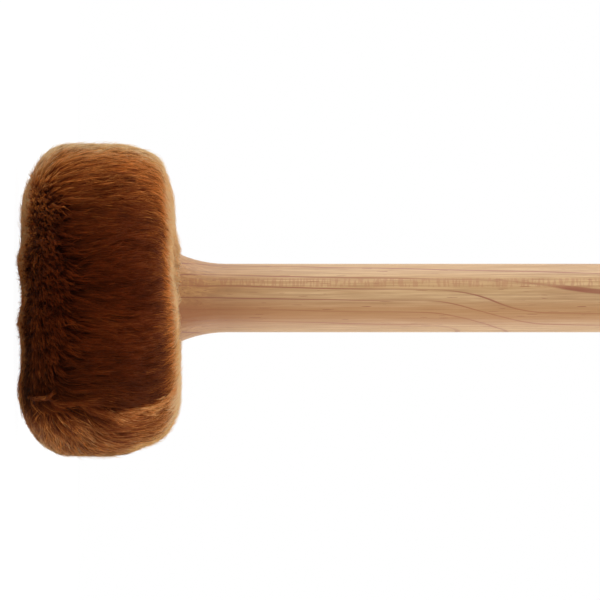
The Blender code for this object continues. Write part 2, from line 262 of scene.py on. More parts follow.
for share, stain in (
    (line_now.outputs[0], "8C4A26"),
    (lower_shade_and_tint.outputs[0], "A66E38"),
    (tick_share, "A86F48"),
    (fleck_mark.outputs["Result"], "8A4A22"),
):
    over = {"Factor": share, 6: grain_and_shade, 7: colour(stain)}
    grain_and_shade = add_node(tree, "ShaderNodeMix", over, data_type="RGBA").outputs[2]
# Painted shade: the wood is painted darker towards the head, where the head shades it.
painted_head_shade = add_node(
    tree,
    "ShaderNodeMapRange",
    {"Value": axes.outputs["Z"], "From Min": HEAD_SHADE_UP_TO, "From Max": HEAD_SHADE_FROM},
    interpolation_type="SMOOTHSTEP",
)
wood_colour = add_node(
    tree,
    "ShaderNodeMix",
    {"Factor": painted_head_shade.outputs["Result"], 6: grain_and_shade, 7: colour("E8CF9C")},
    data_type="RGBA",
    blend_type="MULTIPLY",
)
wood_bump = add_node(
    tree,
    "ShaderNodeBump",
    {"Height": patterns["fibres"], "Strength": 0.12, "Distance": 0.0001},
)
wood = add_node(
    tree,
    "ShaderNodeBsdfPrincipled",
    {
        "Base Color": wood_colour.outputs[2],
        "Roughness": 0.5,
        "IOR": 1.5,
        "Coat Weight": 0.4,
        "Coat Roughness": 0.45,
        "Sheen Weight": 0.3,
        "Sheen Roughness": 0.35,
        "Sheen Tint": colour("FFE2B4"),
        "Normal": wood_bump.outputs["Normal"],
    },
)
add_node(tree, "ShaderNodeOutputMaterial", {"Surface": wood.outputs["BSDF"]})
set_material(nodes["handle"], maple)


# The head core. It is a disc of hardwood, turned and bored for the handle's tenon, which gives the
# head its weight. Its growth rings show on both flat faces and run as stripes along its side.
CORE_RING_SPACING, TOOL_MARK_SPACING = 0.0028, 0.0005
PITH_FROM_CORE_AXIS = (0.05, 0.01, 0.0)

# Turned hardwood. It is left bare and dull, with the fine rings that the turning tool leaves.
hardwood, tree = empty_material("turned_hardwood")
place = add_node(tree, "ShaderNodeTexCoord")
core_rings = add_node(
    tree,
    "ShaderNodeTexWave",
    {
        "Vector": add_node(
            tree,
            "ShaderNodeMapping",
            {"Vector": place.outputs["Object"], "Location": PITH_FROM_CORE_AXIS},
        ).outputs["Vector"],
        "Scale": 1 / CORE_RING_SPACING / math.pi,
        "Distortion": 0.5,
        "Detail": 1.0,
        "Detail Scale": 0.3,
    },
    wave_type="RINGS",
    rings_direction="Z",
    wave_profile="SAW",
)
core_colour = add_node(
    tree,
    "ShaderNodeValToRGB",
    {"Fac": core_rings.outputs["Fac"]},
    [(0.0, "C8A072"), (0.6, "C39A6A"), (0.9, "AE8150"), (1.0, "A87A4A")],
)
core_marks = add_node(
    tree,
    "ShaderNodeTexWave",
    {"Vector": place.outputs["Object"], "Scale": 1 / TOOL_MARK_SPACING / 10, "Distortion": 0.3},
    bands_direction="Z",
)
core_bump = add_node(
    tree,
    "ShaderNodeBump",
    {"Height": core_marks.outputs["Fac"], "Strength": 0.25, "Distance": 0.00004},
)
core_face = add_node(
    tree,
    "ShaderNodeBsdfPrincipled",
    {
        "Base Color": core_colour.outputs["Color"],
        "Roughness": 0.6,
        "Normal": core_bump.outputs["Normal"],
    },
)
add_node(tree, "ShaderNodeOutputMaterial", {"Surface": core_face.outputs["BSDF"]})
set_material(nodes["head_core"], hardwood)


# The core screw and its washer. They are zinc-plated steel, and pull the core up against the
# handle's shoulder. The plating is bright, with cloudy patches where it has dulled.
SPANGLE_SIZE = 0.004

# Zinc-plated steel. It is a bright metal with faint warm and cool patches.
zinc, tree = empty_material("zinc_plated_steel")
place = add_node(tree, "ShaderNodeTexCoord")
clouds = add_node(
    tree,
    "ShaderNodeTexNoise",
    {"Vector": place.outputs["Object"], "Scale": 1 / SPANGLE_SIZE, "Detail": 4.0},
)
zinc_colour = add_node(
    tree,
    "ShaderNodeValToRGB",
    {"Fac": clouds.outputs["Fac"]},
    [(0.3, "B4B6B8"), (0.6, "C8CACC"), (0.8, "D2CDBE")],
)
zinc_dulling = add_node(
    tree,
    "ShaderNodeMapRange",
    {
        "Value": clouds.outputs["Fac"],
        "From Min": 0.3,
        "From Max": 0.7,
        "To Min": 0.25,
        "To Max": 0.45,
    },
)
zinc_face = add_node(
    tree,
    "ShaderNodeBsdfPrincipled",
    {
        "Base Color": zinc_colour.outputs["Color"],
        "Metallic": 1.0,
        "Roughness": zinc_dulling.outputs["Result"],
    },
)
add_node(tree, "ShaderNodeOutputMaterial", {"Surface": zinc_face.outputs["BSDF"]})
set_material(nodes["core_washer"], zinc)
set_material(nodes["core_screw"], zinc)


# The felt. Two turns of pressed wool felt go round the core, each cut with a slanted joint, and a
# pad lies on each side of it. They are die-cut sheet, firm and even, with hollows of up to 0.25 mm.
FELT_FINENESS = 0.0022
FELT_HOLLOW = 0.00025
HOLLOWS_PER_METRE, SMALL_HOLLOWS_PER_METRE = 180.0, 600.0
FELT_LUMP = 0.00625
# Wool fibres are about 0.03 mm thick and are drawn 0.4 mm thick, so that they show.
FELT_FIBRE = 0.0004

# Pressed wool felt. It is matt, with a soft sheen of loose fibres and faint pale lumps.
wool, tree = empty_material("pressed_wool_felt")
place = add_node(tree, "ShaderNodeTexCoord")
wool_lumps = add_node(
    tree,
    "ShaderNodeTexNoise",
    {"Vector": place.outputs["Object"], "Scale": 1 / FELT_LUMP, "Detail": 3.0},
)
wool_fibres = add_node(
    tree,
    "ShaderNodeTexNoise",
    {
        "Vector": place.outputs["Object"],
        "Scale": 1 / FELT_FIBRE,
        "Detail": 5.0,
        "Roughness": 0.7,
        "Distortion": 1.5,
    },
)
wool_shade = add_node(
    tree,
    "ShaderNodeMath",
    {0: wool_lumps.outputs["Fac"], 1: 0.25, 2: wool_fibres.outputs["Fac"]},
    operation="MULTIPLY_ADD",
)
wool_colour = add_node(
    tree,
    "ShaderNodeValToRGB",
    {"Fac": wool_shade.outputs[0]},
    [(0.45, "BEB3A0"), (0.62, "D8CFBF"), (0.8, "E8E1D4")],
)
wool_bump = add_node(
    tree,
    "ShaderNodeBump",
    {"Height": wool_fibres.outputs["Fac"], "Strength": 0.6, "Distance": 0.0002},
)
wool_face = add_node(
    tree,
    "ShaderNodeBsdfPrincipled",
    {
        "Base Color": wool_colour.outputs["Color"],
        "Roughness": 0.95,
        "Specular IOR Level": 0.2,
        "Sheen Weight": 0.4,
        "Normal": wool_bump.outputs["Normal"],
    },
)
add_node(tree, "ShaderNodeOutputMaterial", {"Surface": wool_face.outputs["BSDF"]})


def link_object(name, data):
    """A new object with this mesh, lamp or camera in the scene."""
    made = bpy.data.objects.new(name, data)
    bpy.context.scene.collection.objects.link(made)
    return made


def link_piece(name, mesh, material, slot, *stands_for):
    """An object with this mesh and material. It rides with the mallet and stands for CAD nodes."""
    made = link_object(name, mesh)
    set_material(made, material)
    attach(made, "root")
    if stands_for:
        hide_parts(*stands_for)
    return made


for node_name in ("inner_felt_band", "outer_felt_band", "front_felt_pad", "rear_felt_pad"):
    shape = bmesh.new()
    shape.from_mesh(nodes[node_name].data)
    bmesh.ops.triangulate(shape, faces=shape.faces)
    for _ in range(4):
        long = [edge for edge in shape.edges if edge.calc_length() > FELT_FINENESS]
        bmesh.ops.subdivide_edges(shape, edges=long, cuts=1)
        bmesh.ops.triangulate(shape, faces=shape.faces)
    shape.normal_update()
    for vertex in shape.verts:
        dent = 0.5 + 0.5 * noise.noise(vertex.co * HOLLOWS_PER_METRE)
        dent += 0.25 * noise.noise(vertex.co * SMALL_HOLLOWS_PER_METRE)
        vertex.co -= vertex.normal * FELT_HOLLOW * min(max(dent, 0.0), 1.0)
    mesh = bpy.data.meshes.new(node_name + "_wool")
    shape.to_mesh(mesh)
    shape.free()
    pad = link_piece(node_name + "_wool", mesh, wool, "felt", node_name)


# The drawstrings. Each is a cotton cord laid up from three yarns and tied off in one knot: the rear
# one draws the cover in round the shoulder, and the front one closes it over the striking face.
CORD_RADIUS, KNOT_RADIUS = 0.0010, 0.0018
KNOT_TURN = math.radians(-46)
YARNS, YARN_SIDES, YARN_PITCH = 3, 8, 0.0042
# Shares of the cord's radius.
YARN_OFF_CENTRE, YARN_RADIUS = 0.5, 0.48
# Cotton fibres are about 0.02 mm thick and are drawn 0.36 mm thick, so that they show.
YARN_FIBRE = 0.00036
KNOT_POINTS, RING_POINTS_PER_MM = 120, 24
# The height and half width of the curve that the knot follows, before it is scaled to its radius.
KNOT_CURVE_REACH = 4.6

# Laid cotton cord. It is matt, off-white yarn with a soft sheen of loose fibres.
cotton, tree = empty_material("laid_cotton_cord")
place = add_node(tree, "ShaderNodeTexCoord")
cotton_fibres = add_node(
    tree,
    "ShaderNodeTexNoise",
    {"Vector": place.outputs["Object"], "Scale": 1 / YARN_FIBRE, "Detail": 3.0},
)
cotton_colour = add_node(
    tree,
    "ShaderNodeValToRGB",
    {"Fac": cotton_fibres.outputs["Fac"]},
    [(0.3, "C8BEA8"), (0.6, "E4DCCB")],
)
cotton_bump = add_node(
    tree,
    "ShaderNodeBump",
    {"Height": cotton_fibres.outputs["Fac"], "Strength": 0.5, "Distance": 0.0001},
)
cotton_face = add_node(
    tree,
    "ShaderNodeBsdfPrincipled",
    {
        "Base Color": cotton_colour.outputs["Color"],
        "Roughness": 0.9,
        "Sheen Weight": 0.3,
        "Normal": cotton_bump.outputs["Normal"],
    },
)
add_node(tree, "ShaderNodeOutputMaterial", {"Surface": cotton_face.outputs["BSDF"]})


def laid_cord(path, radius):
    """Vertices and faces of yarns twisted round a closed path, for a cord of that radius."""
    ahead = np.roll(path, -1, 0) - np.roll(path, 1, 0)
    ahead /= np.linalg.norm(ahead, axis=1, keepdims=True)
    inward = np.roll(path, -1, 0) + np.roll(path, 1, 0) - 2 * path
    inward -= (inward * ahead).sum(1, keepdims=True) * ahead
    inward /= np.linalg.norm(inward, axis=1, keepdims=True)
    across = np.cross(ahead, inward)
    length = np.linalg.norm(np.roll(path, -1, 0) - path, axis=1).sum()
    twist = np.arange(len(path)) / len(path) * 2 * math.pi * round(length / YARN_PITCH)
    verts, faces = [], []
    for yarn in range(YARNS):
        phase = (twist + 2 * math.pi * yarn / YARNS)[:, None]
        outward = np.cos(phase) * inward + np.sin(phase) * across
        middle = path + YARN_OFF_CENTRE * radius * outward
        start = len(verts) * len(path)
        for side in range(YARN_SIDES):
            angle = 2 * math.pi * side / YARN_SIDES
            rim = math.cos(angle) * inward + math.sin(angle) * across
            verts.append(middle + YARN_RADIUS * radius * rim)
        ring = np.arange(len(path))
        for side in range(YARN_SIDES):
            a = start + side * len(path) + ring
            b = start + (side + 1) % YARN_SIDES * len(path) + ring
            faces.append(np.stack([a, b, np.roll(b, -1), np.roll(a, -1)], 1))
    return np.concatenate(verts), np.concatenate(faces)


for node_name, ring_radius, ring_z, side in (
    ("rear_drawstring", 0.0183, 0.0475, -1),
    ("front_drawstring", 0.0060, 0.0062, 1),
):
    ring_points = RING_POINTS_PER_MM * round(ring_radius / 0.001)
    t = np.linspace(0, 2 * math.pi, ring_points, endpoint=False)
    ring_path = np.stack([ring_radius * np.cos(t), ring_radius * np.sin(t), 0 * t + ring_z], 1)
    t = np.linspace(0, 2 * math.pi, KNOT_POINTS, endpoint=False)
    knot_path = np.stack(
        [np.sin(t) + 2 * np.sin(2 * t), np.cos(t) - 2 * np.cos(2 * t), -np.sin(3 * t)], 1
    )
    knot_path *= KNOT_RADIUS / KNOT_CURVE_REACH
    from_axis = ring_radius - CORD_RADIUS + KNOT_RADIUS
    knot_path += (
        from_axis * math.cos(KNOT_TURN),
        from_axis * math.sin(KNOT_TURN),
        ring_z + side * (KNOT_RADIUS - CORD_RADIUS),
    )
    ring_verts, ring_faces = laid_cord(ring_path, CORD_RADIUS)
    knot_verts, knot_faces = laid_cord(knot_path, 0.7 * CORD_RADIUS)
    mesh = bpy.data.meshes.new(node_name + "_yarns")
    verts = np.concatenate([ring_verts, knot_verts])
    faces = np.concatenate([ring_faces, knot_faces + len(ring_verts)])
    mesh.from_pydata(verts.tolist(), [], faces.tolist())
    mesh.shade_smooth()
    link_piece(node_name + "_yarns", mesh, cotton, "cord", node_name)


# The fur cover. A strip of knitted cloth with a dense brown acrylic pile goes round the head, is
# closed by one seam along it, and is drawn in over the striking face and round the handle. The
# backing is one closed body, and the pile on it is real strands, combed from front to rear.
HEAD_RADIUS, HEAD_LENGTH = 0.0508, 0.0528
# Each rounded edge has a width, a depth and a squareness, where 2 makes an ellipse.
FRONT_ROUND, REAR_ROUND = (0.022, 0.017, 2.0), (0.021, 0.0205, 2.3)
FRONT_CLOSURE, REAR_OPENING = 0.0025, 0.0149
FACE_POINTS, ROUND_POINTS, REAR_POINTS = 40, 60, 30
PILE_DEPTH, COVER_DEPTH, TABLE_GAP = 0.0034, 0.0039, 0.0003
PILE_LENGTH, SHORTEST, LONGEST = 0.0125, 0.003, 0.018
LOCKS, STRANDS_PER_LOCK, LOCK_SPREAD = 24000, 4, 0.00015
TUFTS = 2600
# Acrylic pile is about 0.04 mm thick. It is drawn 0.26 mm wide, and its loose strands 0.11 mm
# wide, so that they show and hide the backing.
STRAND_WIDTH = 0.00026
FUZZ_STRANDS, FUZZ_WIDTH = 16000, 0.00011
SEAM_Z = (0.003, 0.009, 0.019, 0.030, 0.040, 0.050)
SEAM_TURN = np.radians((-39.5, -46.5, -48.0, -42.5, -42.0, -40.5))
FUR_SEED = 20


def cover_profile():
    """Rows (r, z, out_r, out_z) down the outside of the cover: from the middle of the striking
    face, round the front edge, along the side and round the rear edge to the handle."""
    front_flat, rear_flat = HEAD_RADIUS - FRONT_ROUND[0], HEAD_RADIUS - REAR_ROUND[0]
    side_end = HEAD_LENGTH - REAR_ROUND[1]
    rows = [(r, 0.0, 0.0, -1.0) for r in np.linspace(0.0008, front_flat, FACE_POINTS)]
    for flat, (wide, deep, square), middle, turns in (
        (front_flat, FRONT_ROUND, FRONT_ROUND[1], np.linspace(-90, 0, ROUND_POINTS)[1:]),
        (rear_flat, REAR_ROUND, side_end, np.linspace(0, 90, ROUND_POINTS)),
    ):
        for turn in np.radians(turns):
            place = np.array((math.cos(turn), math.sin(turn)))
            place /= (np.abs(place) ** square).sum() ** (1 / square)
            out = np.sign(place) * np.abs(place) ** (square - 1) / (wide, deep)
            out /= np.linalg.norm(out)
            rows.append((flat + wide * place[0], middle + deep * place[1], *out))
    to_handle = np.linspace(rear_flat, REAR_OPENING, REAR_POINTS)[1:]
    return np.array(rows + [(r, HEAD_LENGTH, 0.0, 1.0) for r in to_handle])


profile = cover_profile()
travel = np.append(0.0, np.cumsum(np.linalg.norm(np.diff(profile[:, :2], axis=0), axis=1)))


def on_cover(along, turn, height):
    """Points that far along the profile, at that turn round the axis and that height over the
    cover's outside, with the direction out of the cover there."""
    r, z, out_r, out_z = (np.interp(along, travel, column) for column in profile.T)
    size = np.hypot(out_r, out_z)
    out_r, out_z = out_r / size, out_z / size
    c, s = np.cos(turn), np.sin(turn)
    distance = r + height * out_r
    points = np.stack([distance * c, distance * s, z + height * out_z], -1)
    return points, np.stack([out_r * c, out_r * s, out_z], -1)


def drift(points, across, along, seed):
    """Smooth seeded noise, about 1 high, that changes over those lengths across and along z."""
    draw, count = np.random.default_rng(seed), 36
    waves = draw.normal(size=(count, 3)) / np.array((across, across, along)) * 1.6
    start = draw.uniform(0, 2 * math.pi, count)
    return np.sin(points @ waves.T + start).sum(-1) / math.sqrt(count / 2)


def ease(value, low, high):
    """0 at low and 1 at high, with a smooth rise between them."""
    t = np.clip((value - low) / (high - low), 0, 1)
    return t * t * (3 - 2 * t)


def bump(value, middle, width):
    """1 at the middle, falling smoothly to nothing about two widths away."""
    return np.exp(-(((value - middle) / width) ** 2))


def round_to(turn, other):
    """The turn from other to turn, from -180 to 180 degrees, in radians."""
    return np.mod(turn - other + math.pi, 2 * math.pi) - math.pi


# The cover isn't perfectly round. The striking face is drawn in, and its edge is wavy on the side
# in view. The head is fuller on its lower side, and drawn in more at the rear of its upper side.
PLEATS, PLEAT_HEIGHT = 16, 0.0009
REAR_PLEAT_REACH, FRONT_PLEAT_REACH = 0.012, 0.008
EDGE_X = np.linspace(-0.040, 0.040, 21)
EDGE_DRAWN_IN = 0.0001 * np.array(
    (1, 9, 13, 13, 15, 22, 14, 3, 11, 19, 22, 14, 8, 14, 19, 21, 16, 5, 0, 7, 0)
)
FACE_DRAWN_IN, REAR_DRAWN_IN, UPPER_REAR_DRAWN_IN = 0.0014, 0.0004, 0.0016
FULLER_BELOW = 0.0007
SEAM_DEPTH, SEAM_HALF_WIDTH = 0.0007, 0.0012


def puff(turn, r, z):
    """How far the cover lies outside its plain form, in metres, with its pleats and its seam."""
    turn = round_to(turn, 0)
    near = 1 - ease(r * np.sin(turn), -0.025, 0.005)
    wavy = np.interp(r * np.cos(turn), EDGE_X, EDGE_DRAWN_IN)
    front = (1 - ease(z, 0.0, 0.010)) * (FACE_DRAWN_IN + near * (wavy - FACE_DRAWN_IN))
    side = FULLER_BELOW * np.cos(turn) * ease(r, 0.020, 0.045)
    upper = ease(np.abs(turn), math.radians(75), math.radians(110))
    lower = bump(turn, math.radians(-12), 0.6)
    rear = ease(z, 0.0465, 0.0520) * (UPPER_REAR_DRAWN_IN * upper + REAR_DRAWN_IN)
    rear *= ease(r, 0.016, 0.024)
    # Shallow dents of 1.8, 0.9 and 0.4 mm run round the side, near its rear and front edges.
    dents = lower * (0.0018 * bump(z, 0.041, 0.0065) + 0.0009 * bump(z, 0.008, 0.006))
    dents += upper * 0.0004 * bump(z, 0.041, 0.006)
    pleat = (0.5 + 0.5 * np.cos(PLEATS * turn)) * PLEAT_HEIGHT
    at_rear = np.clip(1 - (r - REAR_OPENING) / REAR_PLEAT_REACH, 0, 1) * (z > 0.03)
    at_front = np.clip(1 - (r - FRONT_CLOSURE) / FRONT_PLEAT_REACH, 0, 1) * (z < 0.03)
    from_seam = round_to(turn, np.interp(z, SEAM_Z, SEAM_TURN)) * r
    seam = SEAM_DEPTH * bump(from_seam, 0.0, SEAM_HALF_WIDTH) * ease(r, 0.030, 0.045)
    pleats = (pleat - PLEAT_HEIGHT) * at_rear - pleat * at_front
    return pleats + side - front - rear - dents - seam


# The locks are rooted at the golden angle from each other, which spreads them evenly.
random = np.random.default_rng(FUR_SEED)
area = np.append(0.0, np.cumsum((profile[1:, 0] + profile[:-1, 0]) / 2 * np.diff(travel)))
order = np.arange(LOCKS)
lock_along = np.interp((order + random.uniform(0, 1, LOCKS)) / LOCKS, area / area[-1], travel)
golden_angle = math.pi * (3 - math.sqrt(5))
lock_turn = round_to(order * golden_angle, 0) + random.normal(0, 0.02, LOCKS)
lock_root, _ = on_cover(lock_along, lock_turn, 0.0)
lock_x, lock_z = lock_root[:, 0], lock_root[:, 2]
lock_r = np.maximum(np.hypot(lock_root[:, 0], lock_root[:, 1]), 0.006)
below_seam = round_to(lock_turn, np.interp(lock_z, SEAM_Z, SEAM_TURN)) * lock_r
past_face = lock_along > HEAD_RADIUS - FRONT_ROUND[0] - 0.004

# Behind the front edge the pile stands up in a dark band, 4 to 17 mm wide, that ends at the seam.
# Its locks are also painted a little darker and with less sheen: painted shade in the standing
# pile.
BAND_TURNS = np.radians((-180, -152, -141, -120, -104, -90, -76, -55, -48, -40, 20, 60, 120, 180))
BAND_ENDS = np.array((4, 5, 10, 13, 15, 16.8, 16, 11, 9, 3, 4, 11, 12, 4)) * 0.001
band_end = np.interp(lock_turn, BAND_TURNS, BAND_ENDS) + 0.0010 * drift(lock_root, 0.004, 0.02, 3)
upright = past_face * (1 - ease(lock_z, band_end - 0.0025, band_end + 0.0015))
upright *= ease(lock_z, -0.001, 0.001) * (1 - ease(below_seam, -0.001, 0.001) * (below_seam < 0.05))
# Below the seam the pile was caught when it was sewn, and fans out in longer, redder tufts.
tufts = ease(below_seam, -0.0003, 0.0012) * (1 - ease(below_seam, 0.018, 0.032))
front_tufts = tufts * (1 - ease(lock_z, 0.017, 0.026))
# A pocket among the tufts lies lower and is painted darker, with less sheen: painted shade in the
# hollow.
shaded_pocket = bump(below_seam, 0.0055, 0.0026) * ease(lock_z, 0.032, 0.038)
shaded_pocket *= 1 - ease(lock_z, 0.045, 0.049)
# At the upper front edge it is swept up and back and painted lighter, a painted highlight, and
# along the front edge it lies along the edge.
swept = past_face * bump(round_to(lock_turn, math.radians(-160)), 0, 0.42)
swept *= 1 - ease(lock_z, 0.009, 0.015)
along_edge = past_face * (1 - ease(lock_z, 0.002, 0.0045)) * (1 - front_tufts)
# The rims and sides that follow mark where light and shade are painted on the pile: the rear rim,
# the lower rear, the upper side and the upper front edge are painted lighter or with more painted
# sheen, and the lower side, the lower front edge and the front corner by the table are painted
# darker.
rear_rim = ease(lock_z, 0.0425, 0.0505) * (lock_along > FRONT_ROUND[1])
low_rear_highlight = ease(lock_z, 0.024, 0.036) * bump(lock_turn, math.radians(-6), 0.38)
low_side_shade = ease(lock_turn, math.radians(-78), math.radians(-52)) * (lock_turn < 0.3)
low_side_shade *= 1 - ease(below_seam, 0.0, 0.004)
low_front_shade = ease(lock_turn, math.radians(-105), math.radians(-65)) * (lock_turn < 0.3)
top_side = 0.5 - 0.5 * np.cos(lock_turn)
upper_front_light = ease(-lock_x, 0.010, 0.025)
front_corner_shade = 1 - ease(lock_z, 0.003, 0.011)
# Just above the seam the pile dips and is painted darker: a painted shadow of the fold.
seam_gap_shade = bump(below_seam, -0.0013, 0.0009) * ease(lock_z, 0.020, 0.030)
streaks = drift(lock_root, 0.0011, 0.014, 7)

# Neighbouring locks lean together into larger tufts, with partings between some of them, which lie
# lower and are painted darker: painted shade in the partings.
tuft_middle = random.choice(LOCKS, TUFTS, replace=False)
tuft_tree = KDTree(TUFTS)
for number, lock in enumerate(tuft_middle):
    tuft_tree.insert(lock_root[lock], number)
tuft_tree.balance()
own_tuft = np.array([tuft_tree.find(root)[1] for root in lock_root])
own_middle = tuft_middle[own_tuft]
tuft_shade = random.normal(size=TUFTS)[own_tuft]
partings = ease(drift(lock_root, 0.0022, 0.011, 8), 0.9, 1.7)
# The painted sheen differs from lock to lock, and where the pile is swept up from tuft to tuft.
glint = np.exp(0.8 * random.normal(size=LOCKS) - 0.3 + 0.5 * swept * tuft_shade)

# Each lock has a place (along the profile and a turn), a length, a lean away from the combed
# direction in radians, the share of its length that lies along the cover (reach), a height of its
# tip (lift), a curl, a tone and its rise towards the tip (steep), the strength of its painted sheen
# and of its painted golden rim light (edge), a spread of its strands and how far they draw together
# (pinch), the height of the painted lit lip at the striking edge (fringe), and a pull towards its
# tuft's middle (gather).
pile = {
    "along": lock_along,
    "turn": lock_turn,
    "length": PILE_LENGTH
    * (1 + 0.12 * random.normal(size=LOCKS))
    * (1 - 0.50 * upright + 0.10 * front_tufts - 0.3 * along_edge),
    "lean": 0.10 * drift(lock_root, 0.010, 0.012, 5)
    + 0.03 * random.normal(size=LOCKS)
    + upright * (0.75 + 0.25 * random.normal(size=LOCKS))
    + front_tufts * (1.15 + 0.25 * drift(lock_root, 0.003, 0.003, 11))
    + 0.20 * tufts * (1 - front_tufts)
    - 0.75 * swept
    - 0.30 * along_edge * (1 - swept) * (1 - upright),
    "reach": 0.97 - 0.40 * upright,
    "lift": -0.0005
    + 0.0002 * random.normal(size=LOCKS)
    + 0.0008 * front_tufts * random.uniform(0, 1, LOCKS)
    - 0.0003 * upright
    - 0.0007 * shaded_pocket
    - 0.0003 * seam_gap_shade
    - 0.0003 * partings,
    "curl": 0.00012 + 0.0005 * upright + 0.0001 * front_tufts,
    # In the tone, the base, the streaks, the random terms and the tufts are the pile's own colour.
    # The rest is painted light and shade: the partings, the standing band, the lower side, the
    # bottom edge, three bands across the head at set heights, the pocket, the seam's gap and the
    # lower front edge are painted darker, and the upper side, the top edge, the swept corner, the
    # upper front edge and the rear rim are painted lighter.
    "tone": 0.36
    + 0.045 * streaks
    + 0.06 * random.normal(size=LOCKS)
    - 0.12 * partings
    - 0.05 * upright
    - 0.10 * low_side_shade
    + 0.10 * tufts
    + 0.07 * tufts * (1 - front_tufts)
    - 0.05 * ease(lock_x, 0.0420, 0.0445)
    + 0.030 * ease(-lock_x, 0.027, 0.031)
    + 0.12 * ease(-lock_x, 0.0425, 0.048)
    - 0.030 * bump(lock_x, -0.0425, 0.003)
    - 0.045 * bump(lock_x, -0.0245, 0.004)
    - 0.020 * bump(lock_x, 0.0200, 0.006)
    + (0.015 + 0.06 * front_tufts + 0.03 * tufts) * tuft_shade
    - 0.28 * shaded_pocket
    - 0.14 * seam_gap_shade
    + 0.15 * swept
    - (0.03 + 0.15 * low_front_shade) * along_edge * (1 - swept)
    + 0.16 * along_edge * upper_front_light
    + 0.15 * rear_rim,
    # The sheen and the edge set how much painted golden sheen and painted cream rim light the pile
    # shows where it is seen edge-on: more on the upper side, the rear rim, the lower rear and the
    # tufts, less in the standing band, the pocket and the front corner by the table.
    "sheen": (
        0.5
        + 2.9 * top_side
        + 0.8 * ease(-lock_x, 0.027, 0.031)
        - 0.6 * bump(lock_x, -0.0245, 0.004)
        - 0.3 * bump(lock_x, 0.0190, 0.007)
        - 0.3 * upright
        + 6.0 * rear_rim
        + 2.0 * low_rear_highlight
        + 1.0 * front_tufts
        - 0.5 * shaded_pocket
    )
    * (1 - 0.7 * front_corner_shade * (1 - 0.5 * swept) * (1 - 0.5 * upper_front_light))
    * glint,
    "edge": (0.8 + 12.0 * top_side + 7.0 * rear_rim + 3.0 * low_rear_highlight) * glint,
    "spread": LOCK_SPREAD * (1 + 1.5 * front_tufts + 0.5 * upright),
    "pinch": 0.55 + 0.35 * front_tufts + 0.25 * upright,
    "steep": 0.45 + 0.15 * upright + 0.35 * front_tufts,
    "width": np.full(LOCKS, STRAND_WIDTH),
    "fringe": 0.0022 + 0.0016 * swept,
    "gather": 0.12 + 0.15 * upright + 0.75 * front_tufts + 0.3 * tufts * (1 - front_tufts),
    "gather_along": np.clip(lock_along[own_middle] - lock_along, -0.003, 0.003),
    "gather_turn": round_to(lock_turn[own_middle], lock_turn),
}

# A thin row of pile lies along the seam, where the cloth's edges were brushed out. It is painted
# lighter and with more sheen towards the rear: a painted highlight where it folds over the seam.
ROW_LOCKS, ROW_STRANDS = 260, 9
row_z = np.linspace(0.0025, 0.0495, ROW_LOCKS) + random.normal(0, 0.0003, ROW_LOCKS)
row_rear = ease(row_z, 0.022, 0.031)
off_face = slice(FACE_POINTS, 1 - REAR_POINTS)
row_along = np.interp(row_z, profile[off_face, 1], travel[off_face])
row_r = np.interp(row_along, travel, profile[:, 0])
row_seam = np.interp(row_z, SEAM_Z, SEAM_TURN)
row_off = random.normal(0, 1, ROW_LOCKS) * (0.0002 + 0.0005 * row_rear)
seam_slope = np.gradient(row_seam, row_z) * row_r
seam_row = {
    "along": row_along,
    "turn": row_seam + row_off / row_r,
    "length": 0.0075 + 0.0015 * random.normal(size=ROW_LOCKS),
    "lean": np.arctan(np.clip(seam_slope, -1.2, 1.2)) + 0.08 * random.normal(size=ROW_LOCKS),
    "lift": 0.0002 + 0.0002 * random.normal(size=ROW_LOCKS),
    "tone": 0.42 + (0.06 + 0.07 * row_rear) * random.normal(size=ROW_LOCKS) + 0.24 * row_rear,
    "sheen": (0.8 + 2.2 * row_rear) * np.exp(0.5 * random.normal(size=ROW_LOCKS)),
    "spread": 0.0003 + 0.0002 * row_rear,
}
row_wide = {"reach": 0.97, "curl": 0.0002, "edge": 2.0, "pinch": 0.6, "steep": 0.4}
row_wide.update(width=STRAND_WIDTH, fringe=0.0022, gather=0, gather_along=0, gather_turn=0)
for name, value in row_wide.items():
    seam_row[name] = np.full(ROW_LOCKS, float(value))

# Finer strands stand a little proud everywhere, and they blur the head's outline.
fuzz_share = 1 + 2 * rear_rim
fuzz_part = random.choice(LOCKS, FUZZ_STRANDS, p=fuzz_share / fuzz_share.sum())
fuzz = {name: values[fuzz_part] for name, values in pile.items()}
fuzz["turn"] = fuzz["turn"] + random.normal(0, 0.015, FUZZ_STRANDS)
fuzz["lean"] = fuzz["lean"] + random.normal(0, 0.35, FUZZ_STRANDS)
fuzz["lift"] = 0.0008 * random.uniform(0, 1, FUZZ_STRANDS) ** 2
loose = (along_edge + 0.5 * rear_rim)[fuzz_part]
fuzz["lift"] += 0.0004 * loose * random.uniform(0, 1, FUZZ_STRANDS)
fuzz["tone"] = fuzz["tone"] + 0.08
# Their painted sheen is stronger on the upper side and weaker at the front corner by the table, and
# their painted rim light is stronger everywhere.
off_corner = 1 - 0.8 * front_corner_shade[fuzz_part]
fuzz["sheen"] = fuzz["sheen"] + (0.4 + 1.2 * top_side[fuzz_part]) * off_corner
fuzz["edge"] = fuzz["edge"] + 2.0
fuzz["length"] = 0.6 * fuzz["length"]
fuzz["width"] = np.full(FUZZ_STRANDS, FUZZ_WIDTH)
fuzz["gather"] = np.zeros(FUZZ_STRANDS)


# The combed pile keeps a slight wave, which neighbouring strands share.
WAVE_LENGTH, WAVE_TURN = 0.0013, 0.11
RINGS = 4


